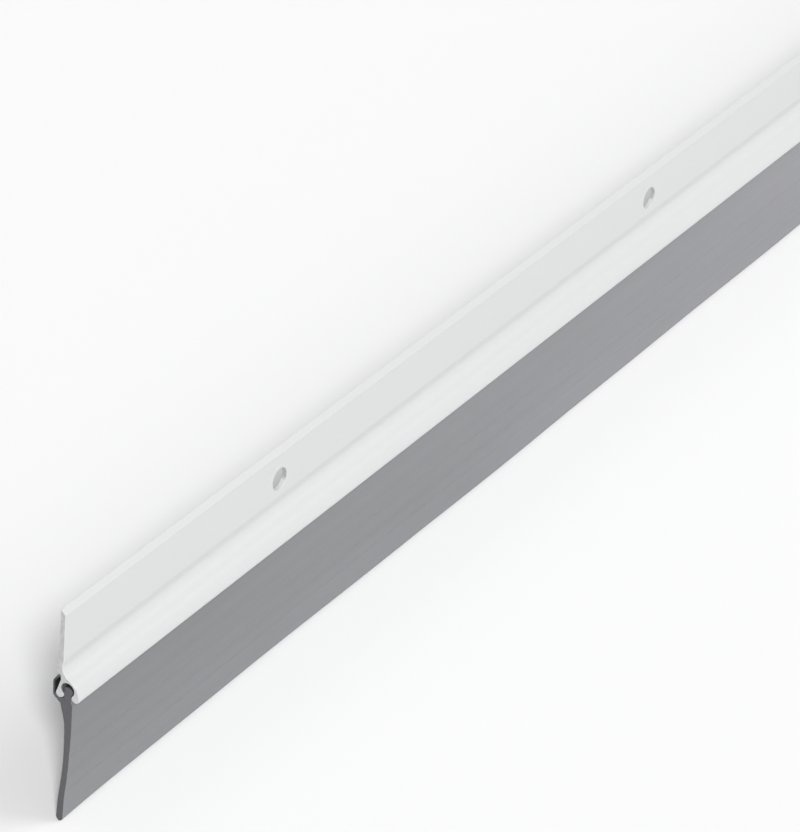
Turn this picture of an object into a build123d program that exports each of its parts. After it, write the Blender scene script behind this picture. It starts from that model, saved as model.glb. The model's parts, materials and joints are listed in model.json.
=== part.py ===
"""Door sweep: a white aluminium carrier rail with a slide-in grey vinyl seal.

The frame is that of the closed door that the sweep is screwed to. +X runs along the
sweep, +Z is up, and the door's face is the plane Y = 0 with the door on its +Y side, so
the sweep shows its front towards -Y. The origin is the middle of the screw-hole row.

Every piece is an extrusion, so each one is drawn as a cross-section and pulled along X.
A section point is (how far it stands out from the door's face, how far it is above the
screw-hole row), so points behind the door's face have a negative first number.
"""

import os

from build123d import *

# ---------------------------------------------------------------- driving dimensions, mm
LENGTH = 914.4  # 36 in, to suit a standard door leaf
HEIGHT = 50.8  # 2 in, from the rail's top edge to the seal's bottom edge

# Screw holes: evenly spaced along the rail, with half a space beyond the outer two.
HOLE_COUNT = 6
HOLE_PITCH = LENGTH / HOLE_COUNT
HOLE_DIAMETER = 5.16  # 13/64 in, for a No. 8 screw

# Rail: the screw flange, which thickens below the holes into a foot that meets the door.
TOP_EDGE = 7.5
FLANGE_THICKNESS = 1.15
FLAT_BACK_END = -2.2  # the flange's back lies flat on the door down to here
FLAT_FRONT_END = -4.4
COVE = (0.8, -6.2)  # deepest point of the hollow below the flat front
FOOT = (-0.55, -6.3)  # rearmost point of the foot
FOOT_HEEL = (-0.35, -7.45)  # where the foot turns in underneath
NOTCH_TOP = (0.4, -8.0)  # the notch between the foot and the channel
NOTCH_BOTTOM = (0.5, -9.1)
HOOD_SPRING = (1.75, -8.15)  # where the hood over the channel springs from the cove
HOOD_SHOULDER = (3.75, -9.5)

# Rail: the round channel that grips the seal, open below between two rounded lips.
CHANNEL_OUT = 2.25
CHANNEL_HEIGHT = -10.95
CHANNEL_RADIUS = 1.55
MOUTH_WIDTH = 1.94
LIP_RADIUS = 0.93
LIP_HEIGHT = -12.45

# Seal: the bead in the channel, the neck through its mouth and the root below the lips.
BEAD_WIDTH = 2.7
BEAD_DEPTH = 2.1
BEAD_DROP = 0.25  # the bead hangs this far below the channel's centre
NECK_CLEARANCE = 0.12  # each side, in the channel's mouth
ROOT_WIDTH = 2.85
ROOT_TOP = -13.6
ROOT_BOTTOM = -15.15
ROOT_CORNER_RADIUS = 0.35

# Seal: the thin wing that curls up behind the rail and closes the gap to the door.
WING_THICKNESS = 0.45
WING_FOOT = (0.7, -14.35)
WING_LOWER_BEND = (-1.05, -13.25)
WING_UPPER_BEND = (-1.1, -9.95)
WING_TIP = (-0.08, -8.45)
WING_TIP_RADIUS = 0.28
WING_BEND_RADIUS = 0.8

# Seal: the fin that hangs to the floor, and the line in the root that it bends about.
FLEX_OUT = 2.0
FLEX_HEIGHT = -15.95
FLEX_RADIUS = 1.2
FLEX_CLEARANCE = 0.06
FIN_TOP_THICKNESS = 2.2
FIN_FRONT = [(3.34, -20.5), (2.65, -33.0)]
FIN_REAR = [(0.6, -37.6), (1.5, -28.0), (1.45, -20.5)]
FIN_EDGE_OUT = 1.08
FIN_EDGE_RADIUS = 0.85

# ------------------------------------------------------------------------ derived places
lip_offset = MOUTH_WIDTH / 2 + LIP_RADIUS
front_lip = (CHANNEL_OUT + lip_offset, LIP_HEIGHT)
rear_lip = (CHANNEL_OUT - lip_offset, LIP_HEIGHT)
flex_line = (FLEX_OUT, FLEX_HEIGHT)

# Section plane at mid length: its x is out from the door and its y is up.
section_plane = Plane(origin=(0, 0, 0), x_dir=(0, -1, 0), z_dir=(-1, 0, 0))
# The flange's front face, with its normal towards the front.
flange_front = Plane(origin=(0, -FLANGE_THICKNESS, 0), x_dir=(1, 0, 0), z_dir=(0, -1, 0))

os.makedirs("parts", exist_ok=True)


# ------------------------------------------------------------------------- carrier rail
with BuildPart() as carrier_rail:
    with BuildSketch(section_plane) as rail_section:
        with BuildLine():
            # Screw flange: flat back, bevelled top edge, flat front.
            flat_back_end = (0, FLAT_BACK_END)
            flat_front_end = (FLANGE_THICKNESS, FLAT_FRONT_END)
            bevel_end = (FLANGE_THICKNESS, TOP_EDGE - FLANGE_THICKNESS)
            Polyline(flat_back_end, (0, TOP_EDGE), bevel_end, flat_front_end)
            # Front: the cove, then the hood over the channel, down to the front lip.
            front_lip_side = (front_lip[0] + LIP_RADIUS, LIP_HEIGHT)
            Spline(
                flat_front_end,
                COVE,
                HOOD_SPRING,
                HOOD_SHOULDER,
                front_lip_side,
                tangents=((0, -1), (0, -1)),
            )
            # Across the two lips, by way of the channel's centre.
            rear_lip_side = (rear_lip[0] - LIP_RADIUS, LIP_HEIGHT)
            channel_centre = (CHANNEL_OUT, CHANNEL_HEIGHT)
            Polyline(front_lip_side, front_lip, channel_centre, rear_lip, rear_lip_side)
            # Back: up the rear leg, round the notch and the foot, to the flat back.
            Polyline(rear_lip_side, NOTCH_BOTTOM, NOTCH_TOP)
            Spline(NOTCH_TOP, FOOT_HEEL, FOOT, tangents=((-1, 0), (0, 1)))
            Spline(FOOT, flat_back_end, tangents=((0, 1), (0, 1)))
        make_face()
        with Locations(front_lip, rear_lip):
            Circle(LIP_RADIUS)
        with Locations(channel_centre):
            Circle(CHANNEL_RADIUS, mode=Mode.SUBTRACT)
    extrude(amount=LENGTH / 2, both=True)
    with Locations(flange_front):
        with GridLocations(HOLE_PITCH, 0, HOLE_COUNT, 1):
            Hole(HOLE_DIAMETER / 2)

carrier_rail.part.label = "carrier_rail"
export_step(carrier_rail.part, "parts/carrier_rail.step")


# --------------------------------------------------------------- seal: bead, root, wing
with BuildPart() as seal_bead:
    with BuildSketch(section_plane) as bead_section:
        # Root, with its lower corners left square where they seat the fin.
        with Locations((FLEX_OUT, (ROOT_TOP + ROOT_BOTTOM) / 2)):
            Rectangle(ROOT_WIDTH, ROOT_TOP - ROOT_BOTTOM)
        fillet(bead_section.vertices().group_by(Axis.Y)[-1], ROOT_CORNER_RADIUS)
        # Neck, then the oval bead that is too wide for the channel's mouth.
        bead_height = CHANNEL_HEIGHT - BEAD_DROP
        with Locations((CHANNEL_OUT, (bead_height + ROOT_TOP) / 2)):
            Rectangle(MOUTH_WIDTH - 2 * NECK_CLEARANCE, bead_height - ROOT_TOP)
        with Locations((CHANNEL_OUT, bead_height)):
            Ellipse(BEAD_WIDTH / 2, BEAD_DEPTH / 2)
        # Wing: out behind the rear lip, up past it and into the notch under the foot.
        with BuildLine():
            FilletPolyline(
                (FLEX_OUT, WING_FOOT[1]),
                WING_FOOT,
                WING_LOWER_BEND,
                WING_UPPER_BEND,
                WING_TIP,
                radius=WING_BEND_RADIUS,
            )
        trace(line_width=WING_THICKNESS)
        with Locations(WING_TIP):
            Circle(WING_TIP_RADIUS)
        # Seat that the rounded top of the fin turns in.
        with Locations(flex_line):
            Circle(FLEX_RADIUS + FLEX_CLEARANCE, mode=Mode.SUBTRACT)
    extrude(amount=LENGTH / 2, both=True)

seal_bead.part.label = "seal_bead"
export_step(seal_bead.part, "parts/seal_bead.step")


# ------------------------------------------------------------------------ seal: the fin
with BuildPart() as seal_fin:
    with BuildSketch(section_plane) as fin_section:
        fin_bottom = TOP_EDGE - HEIGHT
        edge_height = fin_bottom + FIN_EDGE_RADIUS
        edge_front = (FIN_EDGE_OUT + FIN_EDGE_RADIUS, edge_height)
        edge_rear = (FIN_EDGE_OUT - FIN_EDGE_RADIUS, edge_height)
        top_front = (FLEX_OUT + FIN_TOP_THICKNESS / 2, FLEX_HEIGHT)
        top_rear = (FLEX_OUT - FIN_TOP_THICKNESS / 2, FLEX_HEIGHT)
        with BuildLine():
            Spline(top_front, *FIN_FRONT, edge_front)
            ThreePointArc(edge_front, (FIN_EDGE_OUT, fin_bottom), edge_rear)
            Spline(edge_rear, *FIN_REAR, top_rear)
            Line(top_rear, top_front)
        make_face()
        with Locations(flex_line):
            Circle(FLEX_RADIUS)
    extrude(amount=LENGTH / 2, both=True)

seal_fin.part.label = "seal_fin"
export_step(seal_fin.part, "parts/seal_fin.step")
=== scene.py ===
"""Door sweep: the looks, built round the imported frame.

The rail and the seal are extrusions. Each is drawn here as a cross-section in
millimetres, in two coordinates: how far a point stands out from the door's face, and its
height above the screw-hole row. extrude() then pulls it along X, and make_mesh() places it
in the row frame, in metres.
"""

import json
import math

import bmesh
import bpy
import numpy as np
from mathutils import Matrix, Vector
from mathutils.geometry import delaunay_2d_cdt


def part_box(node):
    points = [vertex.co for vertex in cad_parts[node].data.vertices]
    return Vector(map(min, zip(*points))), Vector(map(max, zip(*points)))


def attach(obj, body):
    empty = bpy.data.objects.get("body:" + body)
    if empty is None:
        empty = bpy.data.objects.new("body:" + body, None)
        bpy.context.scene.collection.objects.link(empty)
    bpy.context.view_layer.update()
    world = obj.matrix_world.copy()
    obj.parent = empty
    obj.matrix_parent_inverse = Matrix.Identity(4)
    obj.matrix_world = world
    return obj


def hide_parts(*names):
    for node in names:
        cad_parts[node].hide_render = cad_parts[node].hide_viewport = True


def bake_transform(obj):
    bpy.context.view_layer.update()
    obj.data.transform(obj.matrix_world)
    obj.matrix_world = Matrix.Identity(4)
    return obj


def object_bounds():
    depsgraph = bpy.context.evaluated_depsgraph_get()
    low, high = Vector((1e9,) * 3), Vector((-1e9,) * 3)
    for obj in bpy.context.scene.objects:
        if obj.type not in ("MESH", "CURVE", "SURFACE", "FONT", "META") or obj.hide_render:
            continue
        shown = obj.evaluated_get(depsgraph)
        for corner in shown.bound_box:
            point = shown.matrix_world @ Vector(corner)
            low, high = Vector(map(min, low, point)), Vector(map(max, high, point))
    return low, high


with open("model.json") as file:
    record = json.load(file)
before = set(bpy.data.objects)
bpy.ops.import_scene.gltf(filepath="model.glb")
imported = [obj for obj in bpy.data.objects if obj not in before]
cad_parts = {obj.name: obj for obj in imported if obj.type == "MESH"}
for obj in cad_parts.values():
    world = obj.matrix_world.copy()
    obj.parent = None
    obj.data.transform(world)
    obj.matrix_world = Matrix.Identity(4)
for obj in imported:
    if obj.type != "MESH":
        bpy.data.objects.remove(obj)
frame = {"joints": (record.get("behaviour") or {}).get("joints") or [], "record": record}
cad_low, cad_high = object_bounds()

MM = 0.001
UP, DOWN, OUT = (0, 1), (0, -1), (1, 0)  # directions on a section

# ------------------------------------------------------------- sizes read off the frame
rail_low, rail_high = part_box("carrier_rail")
fin_low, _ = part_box("seal_fin")
screws = {mount["name"]: mount["dims"] for mount in frame["record"]["mounts"]}
flex = next(joint for joint in frame["joints"] if joint["name"] == "fin_flex")
LENGTH = (rail_high[0] - rail_low[0]) / MM
TOP_EDGE = rail_high[2] / MM
FIN_BOTTOM = fin_low[2] / MM
FLOOR = cad_low[2]
HOLE_PITCH = screws["screws_middle_pair"]["spacing_x_mm"]
HOLE_RADIUS = screws["screws_middle_pair"]["hole_r_mm"]
HOLE_COUNT = round(LENGTH / HOLE_PITCH)
FLEX_OUT = -flex["pos_m"][1] / MM  # how far the fin's hinge line stands out

# ------------------------------------------- the rail's section: one aluminium extrusion
FLANGE_THICKNESS = 1.15
FLAT_BACK_END = -2.2  # where the flat back gives way to the foot
FLAT_FRONT_END = -4.0  # where the flat front gives way to the hood
COVE = (0.87, -6.35)
FOOT = (-0.55, -6.3)
FOOT_HEEL = (-0.35, -7.45)
NOTCH_TOP = (0.4, -8.0)
NOTCH_BOTTOM = (0.5, -9.1)
HOOD_SPRING = (1.75, -8.15)
HOOD_SHOULDER = (3.75, -9.5)
CHANNEL = (2.25, -10.95)
CHANNEL_RADIUS = 1.55
LIP_RADIUS = 0.93
LIP_HEIGHT = -12.45
MOUTH_WIDTH = 1.94
TOP_CORNER_RADIUS = 0.15
REAR_CORNER_RADIUS = 0.05

# ------------------------------------------------ the seal's section: one vinyl extrusion
BEAD = (2.25, -11.3)
BEAD_HALF_WIDTH = 1.24
BEAD_HALF_HEIGHT = 1.0
BEAD_START_TURN = 0.12  # radians of the bead given up to its rounding into the neck
BEAD_POINTS = 48
NECK_HALF_WIDTH = 0.85
NECK_TOP_RADIUS = 0.15
NECK_FLARE = (0.25, 0.2)  # the direction in which the neck opens into the bead
ROOT_HALF_WIDTH = 1.425
ROOT_TOP = -13.6
FRONT_SHOULDER = [(-0.75, 0.25), (-0.2, 0.2)]  # height from ROOT_TOP and radius, going in
REAR_NECK_FOOT_RADIUS = 0.22
REAR_SHOULDER_RADIUS = 0.15
WING_THICKNESS = 0.45
WING_LINE = [(1.3, -14.35), (0.7, -14.35), (-1.05, -13.25), (-1.1, -9.95), (-0.08, -8.45)]
WING_BEND_RADIUS = 0.8
WING_FOOT_RADIUS = 0.12
WING_TIP_RADIUS = 0.28
WING_TIP_TURN = 115  # degrees either side of the wing's own direction
ARMPIT = (0.02, -14.75)  # under the wing, and out from the root's rear
ARMPIT_RADIUS = 0.5
WAIST = (0.2, -15.8)  # where the fin's rear begins, out from the root's rear
FIN_FRONT_TOP = -14.9
FIN_FRONT = [(2.14, -38.0), (2.6, -33.5), (3.04, -27.5), (3.34, -21.5), (3.41, -17.0)]
FIN_REAR = [(1.33, -18.7), (1.52, -23.0), (1.42, -29.0), (0.92, -34.5), (0.45, -38.6)]
FIN_FRONT_START = (0.1, 1)  # direction in which the front leaves the free edge
FIN_REAR_START = (0.25, -1)  # direction in which the rear leaves the waist
FIN_REAR_END = (-0.05, -1)
FIN_EDGE_RADIUS = 0.85
FIN_EDGE = (1.08, FIN_BOTTOM + FIN_EDGE_RADIUS)
FIN_STEP = 0.9  # between the points up the fin's front
GROOVES = (-26.6, -31.2, -35.7)  # heights of the three fine lines along the fin
GROOVE_WIDTH = 0.7
GROOVE_DEPTH = 0.10
GROOVE_POINTS = 13

# --------------------------------------------------------- how the edges and ends are cut
SMOOTH_ANGLE = 32  # degrees; a sharper corner keeps its edge in the shading
HOLE_RIM_RADIUS = 0.12
HOLE_RIM_TURNS = (0, 22.5, 45, 67.5, 90)
HOLE_SIDES = 72
CUTTER_FLARE = 1.0  # how much wider than the rim the cutter is outside the flange
CUTTER_PAST_BACK = 1.5
END_EASING = 0.05  # all round the sawn ends, where the edges are only just broken
FRONT_END_EASING = 0.2  # more on the rail's painted front
FIN_END_EASING = 0.42  # more on the fin's rear, which the blade drags round
TOP_EASING_START = 0.4  # how far under the thin top edge the easing begins to grow
TOP_EASING_RUN = 1.6  # over how much height it grows to the full easing
TOP_EASING_SHARE = 0.5  # of END_EASING, at the top edge itself
FIN_EASING_START = 2.0  # the same for the fin, under ROOT_TOP
FIN_EASING_RUN = 4.0
END_TURNS = (0, 30, 60, 90)  # degrees through the rounding at a cut end, one ring each
EASING_SUPPORT = 2.0  # easings from the end to the ring that steadies the shading
END_TOLERANCE = 0.001  # a face this near to the end is the cut end
SAME_POINT = 1e-7
INSIDE_ONLY = 1  # asks delaunay_2d_cdt for the triangles inside the outline
RAIL_STATIONS = 7
SEAL_STATIONS = 161

# ------------------------------------------------------- how the fin hangs along its length
HANG_START = ROOT_TOP - 3  # the height from which down it shows
DRIFT = ((0.16, 61.0, 0.7), (0.10, 23.0, 2.1), (0.05, 9.7, 0.0))  # reach, length, phase
DRAWN_UP = 0.62  # how far up the free edge is drawn
DRAWN_UP_RUN = 14.0  # how soon it reaches that, going in from a cut end
SWELL = (0.25, 47.0, 0.4)  # share, length and phase of its slow rise and fall

# ------------------------------------------------------------- colours, as linear albedos
PAINT = ((0.603, 0.61, 0.61, 1), (0.63, 0.633, 0.637, 1))
# painted shade: the near-black colour of the rail's channel and of the hollow behind its rear leg
PAINTED_SHADE_ON_RAIL = (0.10, 0.10, 0.105, 1)
METAL = ((0.46, 0.46, 0.465, 1), (0.56, 0.56, 0.56, 1))
# painted highlight: the sawn ends' metal is this much lighter down at the lips
LIP_HIGHLIGHT_METAL = (0.60, 0.60, 0.60, 1)
SKIN = ((0.18, 0.186, 0.194, 1), (0.213, 0.219, 0.227, 1))
# partly a painted sheen: the paler skin towards the middle of the length, and towards the free edge
SHEEN_AND_PALE_EDGE_SKIN = ((0.25, 0.25, 0.267, 1), (0.285, 0.285, 0.302, 1))
# painted shade: the near-black skin of the bead in its channel and of the hollow behind the wing
PAINTED_SHADE_ON_SKIN = (0.035, 0.035, 0.04, 1)
# painted shade: the vinyl's cut ends, coloured darker than its skin
SHADED_CUT_VINYL = ((0.075, 0.075, 0.085, 1), (0.11, 0.11, 0.12, 1))
# painted shade: the darker cut end of the wing, in the hollow
PAINTED_SHADE_WING_END = (0.045, 0.045, 0.05, 1)
FLOOR_COLOUR = (0.95, 0.95, 0.95, 1)
WHITE = (1, 1, 1, 1)

# --------------------------------------------------------------------- gloss and texture
PAINT_ROUGHNESS = 0.36
PAINT_SPECULAR = 0.35
METAL_ROUGHNESS = 0.5
METAL_METALLIC = 0.35
SKIN_ROUGHNESS = 0.50
CORE_ROUGHNESS = 0.75
SAW_SCALE = 900.0
SAW_DISTORTION = 1.5
NOISE_SPAN = (0.3, 0.7)  # where nearly all of a noise's values lie
OFF_TO_ON = (0, 1)

# ------------------------------------------- where the looks change, in mm on the section
RAIL_END_TURN = (0.80, 0.92)  # how squarely a surface faces along X to count as cut
SEAL_END_TURN = (0.2, 0.5)
# how far the painted shade reaches round each hollow
RAIL_CHANNEL_REACH = (1.45, 1.75)  # from CHANNEL: fully inside it, and fully outside
REAR_POCKET = (-1.0, -10.9)  # the hollow between the rail's rear leg and the wing
REAR_POCKET_REACH = (1.5, 2.1)
# how far the painted shade on the seal reaches round the bead and the hollow behind the wing
SEAL_HEAD_REACH = (1.6, 2.2)  # from CHANNEL
SEAL_POCKET = (-0.4, -10.8)
SEAL_POCKET_REACH = (1.6, 2.6)
# the painted highlight on the sawn ends grows from the first height down to the second
LIP_HEIGHTS = (-7.0, -13.0)
# painted sheen along the length; paler skin towards the free edge
SHEEN_ALONG = (100, 450)  # from the middle of the length
PALE_EDGE_HEIGHTS = (-18, -43)
PALE_EDGE_SHARE = 0.38  # share of the full pale colour, at the free edge
PALE_CLOUD = 0.12  # how much it varies from place to place

# ------------------------------------------------------------------------- studio light
SKY_STRENGTH = 0.42
HORIZON_STRENGTH = 0.93
HORIZON_HEIGHTS = (0.05, 0.12)
KEY = {"strength": 2.1, "spread": 10, "side": 52, "height": 38}
GLOSS = {"strength": 0.85, "spread": 36, "side": -40, "height": 44}
FLOOR_HALF = 20.0  # metres
FLOOR_ROUGHNESS = 0.9

# ------------------------------------------------------------- the camera, as in the photo
CAMERA_PLACE = (-1.1496, -0.4815, 0.5755)  # metres
CAMERA_AZIMUTH = 59.51  # degrees from +Y towards +X
CAMERA_ELEVATION = 31.63  # degrees it looks down
CAMERA_ROLL = 4.15
CAMERA_LENS = 232.5
CAMERA_SENSOR = 36
CAMERA_CLIP_START = 0.01


# ---------------------------------------------------------------------- section drawing
def arc(centre, radius, start, end, steps):
    """Points on a circle from one angle to another, in degrees."""
    angles = np.radians(np.linspace(start, end, steps + 1))
    return [
        (centre[0] + radius * math.cos(angle), centre[1] + radius * math.sin(angle))
        for angle in angles
    ]


def spline(points, start, end, steps):
    """A smooth cubic through the points; start and end are its directions there."""
    knots = np.array(points, float)
    spans = np.linalg.norm(np.diff(knots, axis=0), axis=1)
    last = len(spans)
    system = np.eye(last + 1)
    wanted = np.zeros((last + 1, 2))
    wanted[0] = np.array(start, float) / np.linalg.norm(start)
    wanted[last] = np.array(end, float) / np.linalg.norm(end)
    for i in range(1, last):
        before, after = spans[i - 1], spans[i]
        system[i, i - 1 : i + 2] = after, 2 * (before + after), before
        slope_before = (knots[i] - knots[i - 1]) / before
        slope_after = (knots[i + 1] - knots[i]) / after
        wanted[i] = 3 * (after * slope_before + before * slope_after)
    slopes = np.linalg.solve(system, wanted)
    curve = []
    for i, span in enumerate(spans):
        for t in np.linspace(0, 1, steps, endpoint=False):
            curve.append(
                (2 * t**3 - 3 * t**2 + 1) * knots[i]
                + (t**3 - 2 * t**2 + t) * span * slopes[i]
                + (3 * t**2 - 2 * t**3) * knots[i + 1]
                + (t**3 - t**2) * span * slopes[i + 1]
            )
    curve.append(knots[-1])
    return [tuple(point) for point in curve]


def rounded(corners, steps=6):
    """A run of straight lines whose inner corners, (out, up, radius), become arcs."""
    line = [corners[0][:2]]
    for before, corner, after in zip(corners, corners[1:], corners[2:]):
        point, radius = np.array(corner[:2], float), corner[2]
        back = np.array(before[:2], float) - point
        ahead = np.array(after[:2], float) - point
        back /= np.linalg.norm(back)
        ahead /= np.linalg.norm(ahead)
        half = math.acos(float(back @ ahead)) / 2
        inward = (back + ahead) / np.linalg.norm(back + ahead)
        centre = point + inward * radius / math.sin(half)
        first = point + back * radius / math.tan(half) - centre
        last = point + ahead * radius / math.tan(half) - centre
        turn = math.atan2(first[0] * last[1] - first[1] * last[0], first @ last)
        for angle in np.linspace(0, turn, steps + 1):
            cos, sin = math.cos(angle), math.sin(angle)
            line.append((
                centre[0] + cos * first[0] - sin * first[1],
                centre[1] + sin * first[0] + cos * first[1],
            ))
    line.append(corners[-1][:2])
    return line


def closed(points, least=0.012):
    """A closed outline without points closer than least millimetres to the one before."""
    outline = []
    for point in points:
        if not outline or math.dist(point, outline[-1]) > least:
            outline.append((float(point[0]), float(point[1])))
    if math.dist(outline[0], outline[-1]) <= least:
        outline.pop()
    return np.array(outline)


def shifted(line, distance):
    """The line's corners moved sideways: to the left of its direction if positive."""
    points = np.array(line, float)
    ways = np.diff(points, axis=0)
    ways /= np.linalg.norm(ways, axis=1)[:, None]
    left = np.stack([-ways[:, 1], ways[:, 0]], 1)
    moved = [points[0] + left[0] * distance]
    for point, before, after in zip(points[1:], left, left[1:]):
        moved.append(point + (before + after) * distance / (1 + float(before @ after)))
    moved.append(points[-1] + left[-1] * distance)
    return moved


def rail_outline():
    """The aluminium rail's section, anticlockwise with out to the right."""
    lip_offset = MOUTH_WIDTH / 2 + LIP_RADIUS
    front_lip = (CHANNEL[0] + lip_offset, LIP_HEIGHT)
    rear_lip = (CHANNEL[0] - lip_offset, LIP_HEIGHT)
    gap = math.dist(front_lip, CHANNEL)
    # Angle at the channel's centre between a lip's centre and where the circles cross.
    crossing = math.degrees(
        math.acos((CHANNEL_RADIUS**2 + gap**2 - LIP_RADIUS**2) / (2 * CHANNEL_RADIUS * gap))
    )
    to_lip = math.degrees(math.atan2(LIP_HEIGHT - CHANNEL[1], lip_offset))
    cut = to_lip - crossing
    nib = np.array(arc(CHANNEL, CHANNEL_RADIUS, cut, cut, steps=1)[0]) - np.array(front_lip)
    nib_angle = math.degrees(math.atan2(nib[1], nib[0]))
    # Where the straight back of the rear leg leaves the rear lip's circle.
    leg = np.array(NOTCH_BOTTOM) - np.array((rear_lip[0] - LIP_RADIUS, LIP_HEIGHT))
    leave = 2 * math.degrees(math.atan2(leg[1], leg[0]))
    # Up the flat front to the bevelled top and down the flat back.
    points = rounded([
        (FLANGE_THICKNESS, FLAT_FRONT_END, 0),
        (FLANGE_THICKNESS, TOP_EDGE - FLANGE_THICKNESS, TOP_CORNER_RADIUS),
        (0, TOP_EDGE, REAR_CORNER_RADIUS),
        (0, FLAT_BACK_END, 0),
    ])
    # Round the foot, the rear lip, the channel and the front lip, then up the hood.
    points += spline([(0, FLAT_BACK_END), FOOT], DOWN, DOWN, steps=14)
    points += spline([FOOT, FOOT_HEEL, NOTCH_TOP], DOWN, OUT, steps=10)
    points.append(NOTCH_BOTTOM)
    points += arc(rear_lip, LIP_RADIUS, leave, 360 + 180 - nib_angle, steps=40)
    points += arc(CHANNEL, CHANNEL_RADIUS, 180 - cut, cut, steps=56)
    points += arc(front_lip, LIP_RADIUS, nib_angle, 360, steps=36)
    hood = [(front_lip[0] + LIP_RADIUS, LIP_HEIGHT), HOOD_SHOULDER, HOOD_SPRING, COVE]
    points += spline(hood + [(FLANGE_THICKNESS, FLAT_FRONT_END)], UP, UP, steps=14)
    return closed(points)


def groove(up):
    """How far the fin's front is sunk at this height by its three fine grooves."""
    sink = 0.0
    for height in GROOVES:
        off = abs(up - height) / (GROOVE_WIDTH / 2)
        if off < 1:
            sink += GROOVE_DEPTH * (1 + math.cos(math.pi * off)) / 2
    return sink


def fin_face(points, start, end):
    """The fin's grooved front: the spline through the points, drawn finely."""
    smooth = np.array(spline(points, start, end, steps=40))
    heights = list(np.arange(points[0][1], points[-1][1], FIN_STEP))
    for height in GROOVES:
        heights += list(height + GROOVE_WIDTH * np.linspace(-0.5, 0.5, GROOVE_POINTS))
    heights = sorted(set(np.round(heights, 4)))
    outs = np.interp(heights, smooth[:, 1], smooth[:, 0])
    return [(out - groove(up), up) for out, up in zip(outs, heights)]


def seal_outline():
    """The vinyl seal's section, anticlockwise with out to the right."""
    edge_front = (FIN_EDGE[0] + FIN_EDGE_RADIUS, FIN_EDGE[1])
    edge_rear = (FIN_EDGE[0] - FIN_EDGE_RADIUS, FIN_EDGE[1])
    root_front = FLEX_OUT + ROOT_HALF_WIDTH
    root_rear = FLEX_OUT - ROOT_HALF_WIDTH
    neck_front = BEAD[0] + NECK_HALF_WIDTH
    neck_rear = BEAD[0] - NECK_HALF_WIDTH
    join = math.acos(NECK_HALF_WIDTH / BEAD_HALF_WIDTH)
    neck_top = BEAD[1] - BEAD_HALF_HEIGHT * math.sin(join)
    bead_base = neck_top + NECK_FLARE[1]
    (outer_drop, outer_radius), (inner_drop, inner_radius) = FRONT_SHOULDER
    # Round the free edge and up the fin's front to the neck.
    points = arc(FIN_EDGE, FIN_EDGE_RADIUS, 180, 360, steps=20)
    front = [edge_front] + FIN_FRONT + [(root_front, FIN_FRONT_TOP)]
    points += fin_face(front, FIN_FRONT_START, UP)
    points += rounded([
        (root_front, FIN_FRONT_TOP, 0),
        (root_front, ROOT_TOP + outer_drop, outer_radius),
        (neck_front, ROOT_TOP + inner_drop, inner_radius),
        (neck_front, neck_top, NECK_TOP_RADIUS),
        (neck_front + NECK_FLARE[0], bead_base, 0),
    ])[:-1]
    # Over the bead.
    first = -join + BEAD_START_TURN
    for turn in np.linspace(first, math.pi - first, BEAD_POINTS):
        points.append((
            BEAD[0] + BEAD_HALF_WIDTH * math.cos(turn),
            BEAD[1] + BEAD_HALF_HEIGHT * math.sin(turn),
        ))
    # Down the neck's rear, then up the wing's inside, over its tip and down its outside.
    inner = shifted(WING_LINE, -WING_THICKNESS / 2)
    outer = shifted(WING_LINE, WING_THICKNESS / 2)
    across = (inner[1][0] - root_rear) / (inner[1][0] - inner[2][0])
    wing_foot = inner[1][1] + across * (inner[2][1] - inner[1][1])
    inner_bend = WING_BEND_RADIUS - WING_THICKNESS / 2
    outer_bend = WING_BEND_RADIUS + WING_THICKNESS / 2
    points += rounded([
        (neck_rear - NECK_FLARE[0], bead_base, 0),
        (neck_rear, neck_top, NECK_TOP_RADIUS),
        (neck_rear, ROOT_TOP, REAR_NECK_FOOT_RADIUS),
        (root_rear, ROOT_TOP, REAR_SHOULDER_RADIUS),
        (root_rear, wing_foot, WING_FOOT_RADIUS),
        (*inner[2], inner_bend),
        (*inner[3], inner_bend),
        (*inner[4], 0),
    ])[1:-1]
    tip = np.array(WING_LINE[-1])
    along = tip - np.array(WING_LINE[-2])
    heading = math.degrees(math.atan2(along[1], along[0]))
    start, end = heading - WING_TIP_TURN, heading + WING_TIP_TURN
    points += arc(tip, WING_TIP_RADIUS, start, end, steps=20)
    waist = (root_rear + WAIST[0], WAIST[1])
    points += rounded([
        (*outer[4], 0),
        (*outer[3], outer_bend),
        (*outer[2], outer_bend),
        (root_rear + ARMPIT[0], ARMPIT[1], ARMPIT_RADIUS),
        (*waist, 0),
    ])[1:]
    # Down the fin's rear.
    rear = [waist] + FIN_REAR + [edge_rear]
    points += spline(rear, FIN_REAR_START, FIN_REAR_END, steps=12)
    return closed(points)


# ------------------------------------------------------------------------- mesh building
def triangles_inside(outline):
    """The outline's inside in well-shaped triangles, which stay clean when the piece bends."""
    corners = [Vector(point) for point in outline]
    edges = [(i, (i + 1) % len(corners)) for i in range(len(corners))]
    found = delaunay_2d_cdt(corners, edges, [], INSIDE_ONLY, SAME_POINT)
    triangles, sources = found[2], found[3]
    return [tuple(sources[corner][0] for corner in triangle) for triangle in triangles]


def directions(outline):
    """The outline's own unit direction at each point."""
    along = np.roll(outline, -1, axis=0) - np.roll(outline, 1, axis=0)
    return along / np.linalg.norm(along, axis=1)[:, None]


def facing_out(outline):
    """How squarely each point of the outline faces the front: -1 where it faces the door."""
    return directions(outline)[:, 1]


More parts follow.
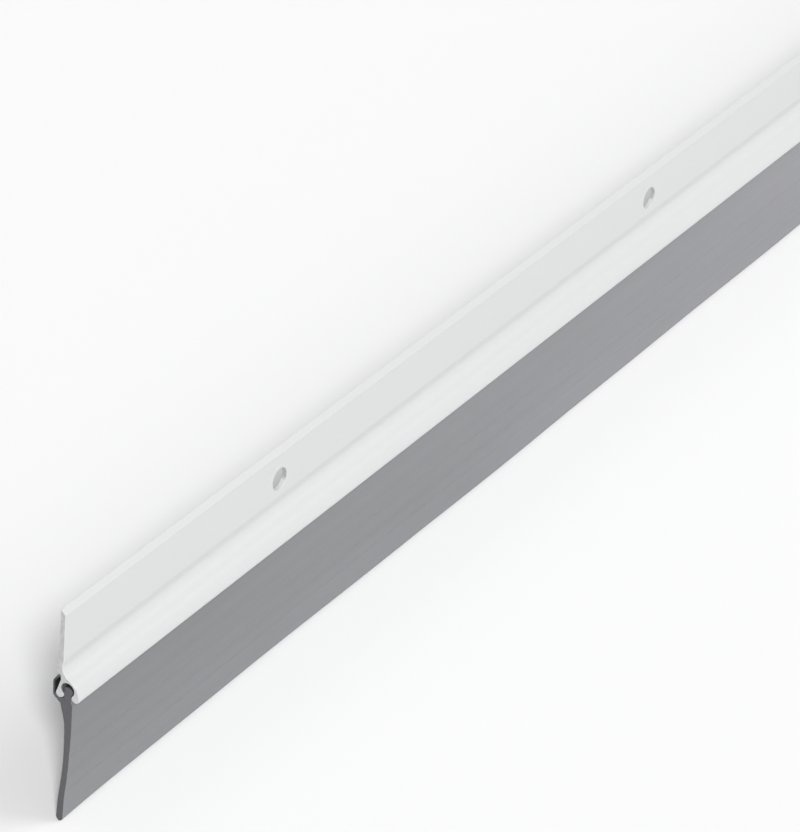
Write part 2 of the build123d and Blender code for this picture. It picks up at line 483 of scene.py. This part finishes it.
def extrude(outline, stations, easing):
    """A closed mesh of the section, in millimetres: its vertices and its faces.

    easing is how far each point of the outline is rounded over at the two cut ends.
    """
    along = directions(outline)
    inward = np.stack([-along[:, 1], along[:, 0]], 1)
    # Each ring is an X, a shift towards the middle and an inset, in easings. The ring past
    # the rounding holds the long faces' shading level right up to the ends.
    curve = [(1 - math.cos(turn), 1 - math.sin(turn)) for turn in np.radians(END_TURNS)]
    curve.append((EASING_SUPPORT, 0.0))
    xs = np.linspace(-LENGTH / 2, LENGTH / 2, stations)
    rings = [(xs[0], shift, inset) for shift, inset in curve]
    rings += [(x, 0.0, 0.0) for x in xs[1:-1]]
    rings += [(xs[-1], -shift, inset) for shift, inset in curve[::-1]]
    vertices = []
    for x, shift, inset in rings:
        section = outline + inward * (easing * inset)[:, None]
        vertices.append(np.column_stack([x + easing * shift, section]))
    count = len(outline)
    faces = []
    for ring in range(len(rings) - 1):
        for i in range(count):
            here, there = ring * count + i, ring * count + (i + 1) % count
            faces.append((here, there, there + count, here + count))
    last = (len(rings) - 1) * count
    for a, b, c in triangles_inside(vertices[0][:, 1:]):
        faces += [(c, b, a), (last + a, last + b, last + c)]
    return np.concatenate(vertices), faces


def shade(mesh):
    """Smooth shading, except at real corners and on the flat cut ends."""
    mesh.shade_smooth()
    mesh.set_sharp_from_angle(angle=math.radians(SMOOTH_ANGLE))
    cut_end = (LENGTH / 2 - END_TOLERANCE) * MM
    for face in mesh.polygons:
        face.use_smooth = abs(face.center.x) < cut_end


def make_mesh(name, vertices, faces):
    """An object from points given as (along, out, up) in millimetres."""
    mesh = bpy.data.meshes.new(name)
    mesh.from_pydata([(x * MM, -out * MM, up * MM) for x, out, up in vertices], [], faces)
    work = bmesh.new()
    work.from_mesh(mesh)
    bmesh.ops.recalc_face_normals(work, faces=work.faces)
    work.to_mesh(mesh)
    work.free()
    shade(mesh)
    piece = bpy.data.objects.new(name, mesh)
    bpy.context.scene.collection.objects.link(piece)
    return piece


def hole_profile():
    """Half of a hole cutter's section, (out, radius), flared to round both rims."""
    flare = [
        (HOLE_RIM_RADIUS * (1 - math.sin(turn)), HOLE_RADIUS + HOLE_RIM_RADIUS * (1 - math.cos(turn)))
        for turn in np.radians(HOLE_RIM_TURNS)
    ]
    front = [(FLANGE_THICKNESS - depth, radius) for depth, radius in flare[::-1]]
    mouth = HOLE_RADIUS + HOLE_RIM_RADIUS + CUTTER_FLARE
    start = (FLANGE_THICKNESS + CUTTER_FLARE, mouth)
    return [start] + front + flare + [(-CUTTER_PAST_BACK, mouth)]


def hole_cutter():
    """All the screw holes as one cutter."""
    profile = hole_profile()
    turns = [2 * math.pi * side / HOLE_SIDES for side in range(HOLE_SIDES)]
    vertices, faces = [], []
    for hole in range(HOLE_COUNT):
        x = (hole - (HOLE_COUNT - 1) / 2) * HOLE_PITCH
        first = len(vertices)
        for out, radius in profile:
            for turn in turns:
                vertices.append((x + radius * math.cos(turn), out, radius * math.sin(turn)))
        for ring in range(len(profile) - 1):
            start = first + ring * HOLE_SIDES
            for side in range(HOLE_SIDES):
                here, there = start + side, start + (side + 1) % HOLE_SIDES
                faces.append((here, there, there + HOLE_SIDES, here + HOLE_SIDES))
        last = first + (len(profile) - 1) * HOLE_SIDES
        faces.append(tuple(range(first, first + HOLE_SIDES))[::-1])
        faces.append(tuple(range(last, last + HOLE_SIDES)))
    return make_mesh("hole_cutter", vertices, faces)


def cut_away(piece, cutter):
    """Cuts the cutter out of the piece for good, and removes the cutter."""
    modifier = piece.modifiers.new("cut", "BOOLEAN")
    modifier.operation = "DIFFERENCE"
    modifier.solver = "EXACT"
    modifier.object = cutter
    shown = piece.evaluated_get(bpy.context.evaluated_depsgraph_get())
    mesh = bpy.data.meshes.new_from_object(shown)
    mesh.name = piece.name
    piece.modifiers.clear()
    piece.data = mesh
    bpy.data.objects.remove(cutter)
    shade(mesh)
    weigh = piece.modifiers.new("flat_faces_lead", "WEIGHTED_NORMAL")
    weigh.keep_sharp = True


# ------------------------------------------------------------------------------ materials
class Graph:
    """The nodes of a material or a world, with a short call for each kind used here."""

    def __init__(self, owner):
        owner.use_nodes = True
        self.nodes = owner.node_tree.nodes
        self.links = owner.node_tree.links

    def feed(self, socket, value):
        """Sets the socket to a constant, or links another node's socket to it."""
        if isinstance(value, bpy.types.NodeSocket):
            self.links.new(value, socket)
        else:
            socket.default_value = value

    def math(self, operation, *values):
        node = self.nodes.new("ShaderNodeMath")
        node.operation = operation
        for socket, value in zip(node.inputs, values):
            self.feed(socket, value)
        return node.outputs[0]

    def vector(self, operation, first, second, output="Vector"):
        node = self.nodes.new("ShaderNodeVectorMath")
        node.operation = operation
        self.feed(node.inputs[0], first)
        self.feed(node.inputs[1], second)
        return node.outputs[output]

    def place(self, kind="Object"):
        return self.nodes.new("ShaderNodeTexCoord").outputs[kind]

    def along(self, axis, kind="Object"):
        """One coordinate of the place, or of the normal."""
        parts = self.nodes.new("ShaderNodeSeparateXYZ")
        self.feed(parts.inputs[0], self.place(kind))
        return parts.outputs[axis]

    def noise(self, scale, stretch, detail=3.0):
        """Noise in object space, drawn out along X by the given factor."""
        noise = self.nodes.new("ShaderNodeTexNoise")
        noise.inputs["Scale"].default_value = scale
        noise.inputs["Detail"].default_value = detail
        squeezed = self.vector("MULTIPLY", self.place(), (1 / stretch, 1, 1))
        self.feed(noise.inputs["Vector"], squeezed)
        return noise.outputs["Fac"]

    def between(self, value, given, wanted=(0.0, 1.0)):
        """value mapped smoothly from the given pair to the wanted pair."""
        step = self.nodes.new("ShaderNodeMapRange")
        step.interpolation_type = "SMOOTHSTEP"
        for socket, number in zip(step.inputs[1:5], (*given, *wanted)):
            socket.default_value = number
        self.feed(step.inputs[0], value)
        return step.outputs[0]

    def mix(self, factor, first, second):
        mix = self.nodes.new("ShaderNodeMix")
        mix.data_type = "RGBA"
        self.feed(mix.inputs["Factor"], factor)
        self.feed(mix.inputs["A"], first)
        self.feed(mix.inputs["B"], second)
        return mix.outputs["Result"]

    def bump(self, height, strength, depth_mm, normal=None):
        bump = self.nodes.new("ShaderNodeBump")
        bump.inputs["Strength"].default_value = strength
        bump.inputs["Distance"].default_value = depth_mm * MM
        self.feed(bump.inputs["Height"], height)
        if normal is not None:
            self.feed(bump.inputs["Normal"], normal)
        return bump.outputs["Normal"]

    def cut_end(self, turn):
        """0 to 1 as the surface turns to face along X, as it does on the sawn ends."""
        return self.between(self.math("ABSOLUTE", self.along("X", "Normal")), turn)

    def near_line(self, line, reach):
        """1 within the first reach of a line along X, 0 past the second; all in mm."""
        flat = self.vector("MULTIPLY", self.place(), (0, 1, 1))
        away = self.vector("DISTANCE", flat, (0, -line[0] * MM, line[1] * MM), "Value")
        return self.between(away, (reach[0] * MM, reach[1] * MM), (1.0, 0.0))


def enamel():
    """Satin white enamel on extruded aluminium: bare metal on the sawn ends, lighter lower down as a
    painted highlight, and near-black painted shade in the channel and behind the rear leg.
    """
    made = bpy.data.materials.new("white_enamel_on_aluminium")
    graph = Graph(made)
    shader = graph.nodes["Principled BSDF"]
    end = graph.cut_end(RAIL_END_TURN)
    paint = graph.mix(graph.noise(scale=18.0, stretch=6.0), *PAINT)
    # Painted shade: the channel and the hollow behind the rear leg are coloured near-black.
    channel = graph.near_line(CHANNEL, RAIL_CHANNEL_REACH)
    pocket_shade = graph.near_line(REAR_POCKET, REAR_POCKET_REACH)
    paint = graph.mix(graph.math("MAXIMUM", channel, pocket_shade), paint, PAINTED_SHADE_ON_RAIL)
    grain = graph.between(graph.noise(scale=900.0, stretch=1.0, detail=5.0), NOISE_SPAN)
    # Painted highlight: the bare metal of the sawn ends is coloured lighter towards the lips.
    lip_highlight = graph.between(graph.along("Z"), tuple(up * MM for up in LIP_HEIGHTS))
    metal = graph.mix(lip_highlight, graph.mix(grain, *METAL), LIP_HIGHLIGHT_METAL)
    graph.feed(shader.inputs["Base Color"], graph.mix(end, paint, metal))
    metallic = graph.between(end, OFF_TO_ON, (0.0, METAL_METALLIC))
    roughness = graph.between(end, OFF_TO_ON, (PAINT_ROUGHNESS, METAL_ROUGHNESS))
    graph.feed(shader.inputs["Metallic"], metallic)
    graph.feed(shader.inputs["Roughness"], roughness)
    shader.inputs["Specular IOR Level"].default_value = PAINT_SPECULAR
    # Orange peel in the paint, fine extrusion lines under it, saw marks on the ends.
    peel = graph.noise(scale=900.0, stretch=1.6, detail=2.0)
    lines = graph.noise(scale=1400.0, stretch=220.0, detail=2.0)
    normal = graph.bump(peel, strength=0.10, depth_mm=0.2)
    normal = graph.bump(lines, strength=0.07, depth_mm=0.2, normal=normal)
    saw = graph.nodes.new("ShaderNodeTexWave")
    saw.bands_direction = "Z"
    saw.inputs["Scale"].default_value = SAW_SCALE
    saw.inputs["Distortion"].default_value = SAW_DISTORTION
    graph.feed(saw.inputs["Vector"], graph.place())
    marks = graph.math("MULTIPLY", saw.outputs["Fac"], end)
    normal = graph.bump(marks, strength=0.35, depth_mm=0.15, normal=normal)
    graph.feed(shader.inputs["Normal"], normal)
    return made


def vinyl():
    """Grey flexible PVC with faint lengthwise extrusion lines, painted shade on its cut ends and in
    its hollows, and a pale painted sheen.
    """
    made = bpy.data.materials.new("grey_vinyl")
    graph = Graph(made)
    shader = graph.nodes["Principled BSDF"]
    end = graph.cut_end(SEAL_END_TURN)
    streaks = graph.noise(scale=420.0, stretch=160.0, detail=4.0)
    # A pale painted sheen grows from the cut ends towards the middle, and the fin grows paler towards
    # its free edge.
    from_middle = graph.math("ABSOLUTE", graph.along("X"))
    inner = graph.between(from_middle, tuple(x * MM for x in SHEEN_ALONG), (1.0, 0.0))
    heights = tuple(up * MM for up in PALE_EDGE_HEIGHTS)
    pale_edge = graph.between(graph.along("Z"), heights, (0.0, PALE_EDGE_SHARE))
    cloud = graph.noise(scale=30.0, stretch=4.0)
    cloud = graph.between(cloud, NOISE_SPAN, (-PALE_CLOUD, PALE_CLOUD))
    sheen_and_pale_edge = graph.math("ADD", graph.math("MAXIMUM", inner, pale_edge), cloud)
    skin = graph.mix(sheen_and_pale_edge, graph.mix(streaks, *SKIN), graph.mix(streaks, *SHEEN_AND_PALE_EDGE_SKIN))
    # Painted shade: the bead in its channel and the hollow behind the wing are coloured near-black.
    pocket_shade = graph.near_line(SEAL_POCKET, SEAL_POCKET_REACH)
    head_shade = graph.near_line(CHANNEL, SEAL_HEAD_REACH)
    skin = graph.mix(graph.math("MAXIMUM", pocket_shade, head_shade), skin, PAINTED_SHADE_ON_SKIN)
    # Painted shade: the cut ends are coloured darker than the skin.
    shaded_cut = graph.mix(graph.noise(scale=1500.0, stretch=1.0), *SHADED_CUT_VINYL)
    # Painted shade: the wing's cut end, in the hollow, is coloured darker still.
    shaded_cut = graph.mix(pocket_shade, shaded_cut, PAINTED_SHADE_WING_END)
    graph.feed(shader.inputs["Base Color"], graph.mix(end, skin, shaded_cut))
    roughness = graph.between(end, OFF_TO_ON, (SKIN_ROUGHNESS, CORE_ROUGHNESS))
    graph.feed(shader.inputs["Roughness"], roughness)
    lines = graph.noise(scale=900.0, stretch=260.0, detail=3.0)
    pebble = graph.noise(scale=1500.0, stretch=1.5, detail=2.0)
    normal = graph.bump(lines, strength=0.14, depth_mm=0.2)
    normal = graph.bump(pebble, strength=0.06, depth_mm=0.1, normal=normal)
    graph.feed(shader.inputs["Normal"], normal)
    return made


# ----------------------------------------------------------------------------- the pieces
def build_rail():
    outline = rail_outline()
    below = TOP_EDGE - TOP_EASING_START - outline[:, 1]
    below_top = np.clip(below / TOP_EASING_RUN, 0, 1)
    easing = FRONT_END_EASING * np.clip(facing_out(outline), 0, 1) * below_top
    easing += END_EASING * (TOP_EASING_SHARE + (1 - TOP_EASING_SHARE) * below_top)
    piece = make_mesh("rail", *extrude(outline, RAIL_STATIONS, easing))
    cut_away(piece, hole_cutter())
    piece.data.materials.clear()
    piece.data.materials.append(enamel())
    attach(piece, "carrier")
    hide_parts("carrier_rail")


def hang(vertices):
    """The fin as it really hangs, which is never quite straight.

    It drifts in and out along its length, and its free edge is drawn up a little
    everywhere but at the cut ends.
    """
    x = vertices[:, 0]
    depth = np.clip((HANG_START - vertices[:, 2]) / (HANG_START - FIN_BOTTOM), 0, 1)
    drift = sum(reach * np.sin(x / length + phase) for reach, length, phase in DRIFT)
    vertices[:, 1] += drift * depth**2
    from_end = LENGTH / 2 - np.abs(x)
    share, length, phase = SWELL
    swell = 1 + share * np.sin(from_end / length + phase)
    vertices[:, 2] += DRAWN_UP * (1 - np.exp(-from_end / DRAWN_UP_RUN)) * swell * depth**3


def build_seal():
    outline = seal_outline()
    below = ROOT_TOP - FIN_EASING_START - outline[:, 1]
    on_fin = np.clip(below / FIN_EASING_RUN, 0, 1)
    easing = END_EASING + FIN_END_EASING * np.clip(-facing_out(outline), 0, 1) * on_fin
    vertices, faces = extrude(outline, SEAL_STATIONS, easing)
    hang(vertices)
    piece = make_mesh("seal", vertices, faces)
    piece.data.materials.append(vinyl())
    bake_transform(piece)
    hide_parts("seal_bead", "seal_fin")


# ------------------------------------------------------------------------------ the stage
def build_floor():
    half = FLOOR_HALF
    mesh = bpy.data.meshes.new("floor")
    corners = [(-half, -half, 0), (half, -half, 0), (half, half, 0), (-half, half, 0)]
    mesh.from_pydata(corners, [], [(0, 1, 2, 3)])
    floor = bpy.data.objects.new("floor", mesh)
    floor.location = (0, 0, FLOOR)
    bpy.context.scene.collection.objects.link(floor)
    made = bpy.data.materials.new("pale_floor")
    shader = Graph(made).nodes["Principled BSDF"]
    shader.inputs["Base Color"].default_value = FLOOR_COLOUR
    shader.inputs["Roughness"].default_value = FLOOR_ROUGHNESS
    mesh.materials.append(made)


def build_sky():
    """An even white studio sky that meets the floor's own brightness at the horizon."""
    world = bpy.data.worlds.new("studio")
    bpy.context.scene.world = world
    graph = Graph(world)
    background = graph.nodes["Background"]
    height = graph.along("Z", "Generated")
    strength = graph.between(height, HORIZON_HEIGHTS, (HORIZON_STRENGTH, SKY_STRENGTH))
    graph.feed(background.inputs["Strength"], strength)
    background.inputs["Color"].default_value = WHITE


def build_lamp(name, strength, spread, side, height):
    """A broad lamp far off in front of the door's face, with its three angles in degrees.

    spread is how wide it looks, side how far round towards -X it stands, and height how
    far above the horizon.
    """
    data = bpy.data.lights.new(name, "SUN")
    data.energy = strength
    data.angle = math.radians(spread)
    lamp = bpy.data.objects.new(name, data)
    side, height = math.radians(side), math.radians(height)
    towards = Vector((
        -math.sin(side) * math.cos(height), -math.cos(side) * math.cos(height), math.sin(height)
    ))
    lamp.rotation_euler = towards.to_track_quat("Z", "Y").to_euler()
    bpy.context.scene.collection.objects.link(lamp)


def build_camera():
    """The camera stands at the front left, above the sweep, and looks along it."""
    azimuth = math.radians(CAMERA_AZIMUTH)
    elevation = math.radians(CAMERA_ELEVATION)
    roll = math.radians(CAMERA_ROLL)
    ahead = Vector((
        math.sin(azimuth) * math.cos(elevation),
        math.cos(azimuth) * math.cos(elevation),
        -math.sin(elevation),
    ))
    level = Vector((math.cos(azimuth), -math.sin(azimuth), 0))
    upright = level.cross(ahead)
    right = math.cos(roll) * level + math.sin(roll) * upright
    up = math.cos(roll) * upright - math.sin(roll) * level
    data = bpy.data.cameras.new("camera")
    data.sensor_fit = "HORIZONTAL"
    data.sensor_width = CAMERA_SENSOR
    data.lens = CAMERA_LENS
    data.clip_start = CAMERA_CLIP_START
    camera = bpy.data.objects.new("camera", data)
    turn = Matrix((right, up, -ahead)).transposed()
    camera.matrix_world = Matrix.Translation(CAMERA_PLACE) @ turn.to_4x4()
    bpy.context.scene.collection.objects.link(camera)
    bpy.context.scene.camera = camera


build_camera()
build_floor()
build_sky()
build_lamp("key", **KEY)
build_lamp("gloss", **GLOSS)
build_rail()
build_seal()
bpy.context.scene.view_settings.view_transform = "Standard"
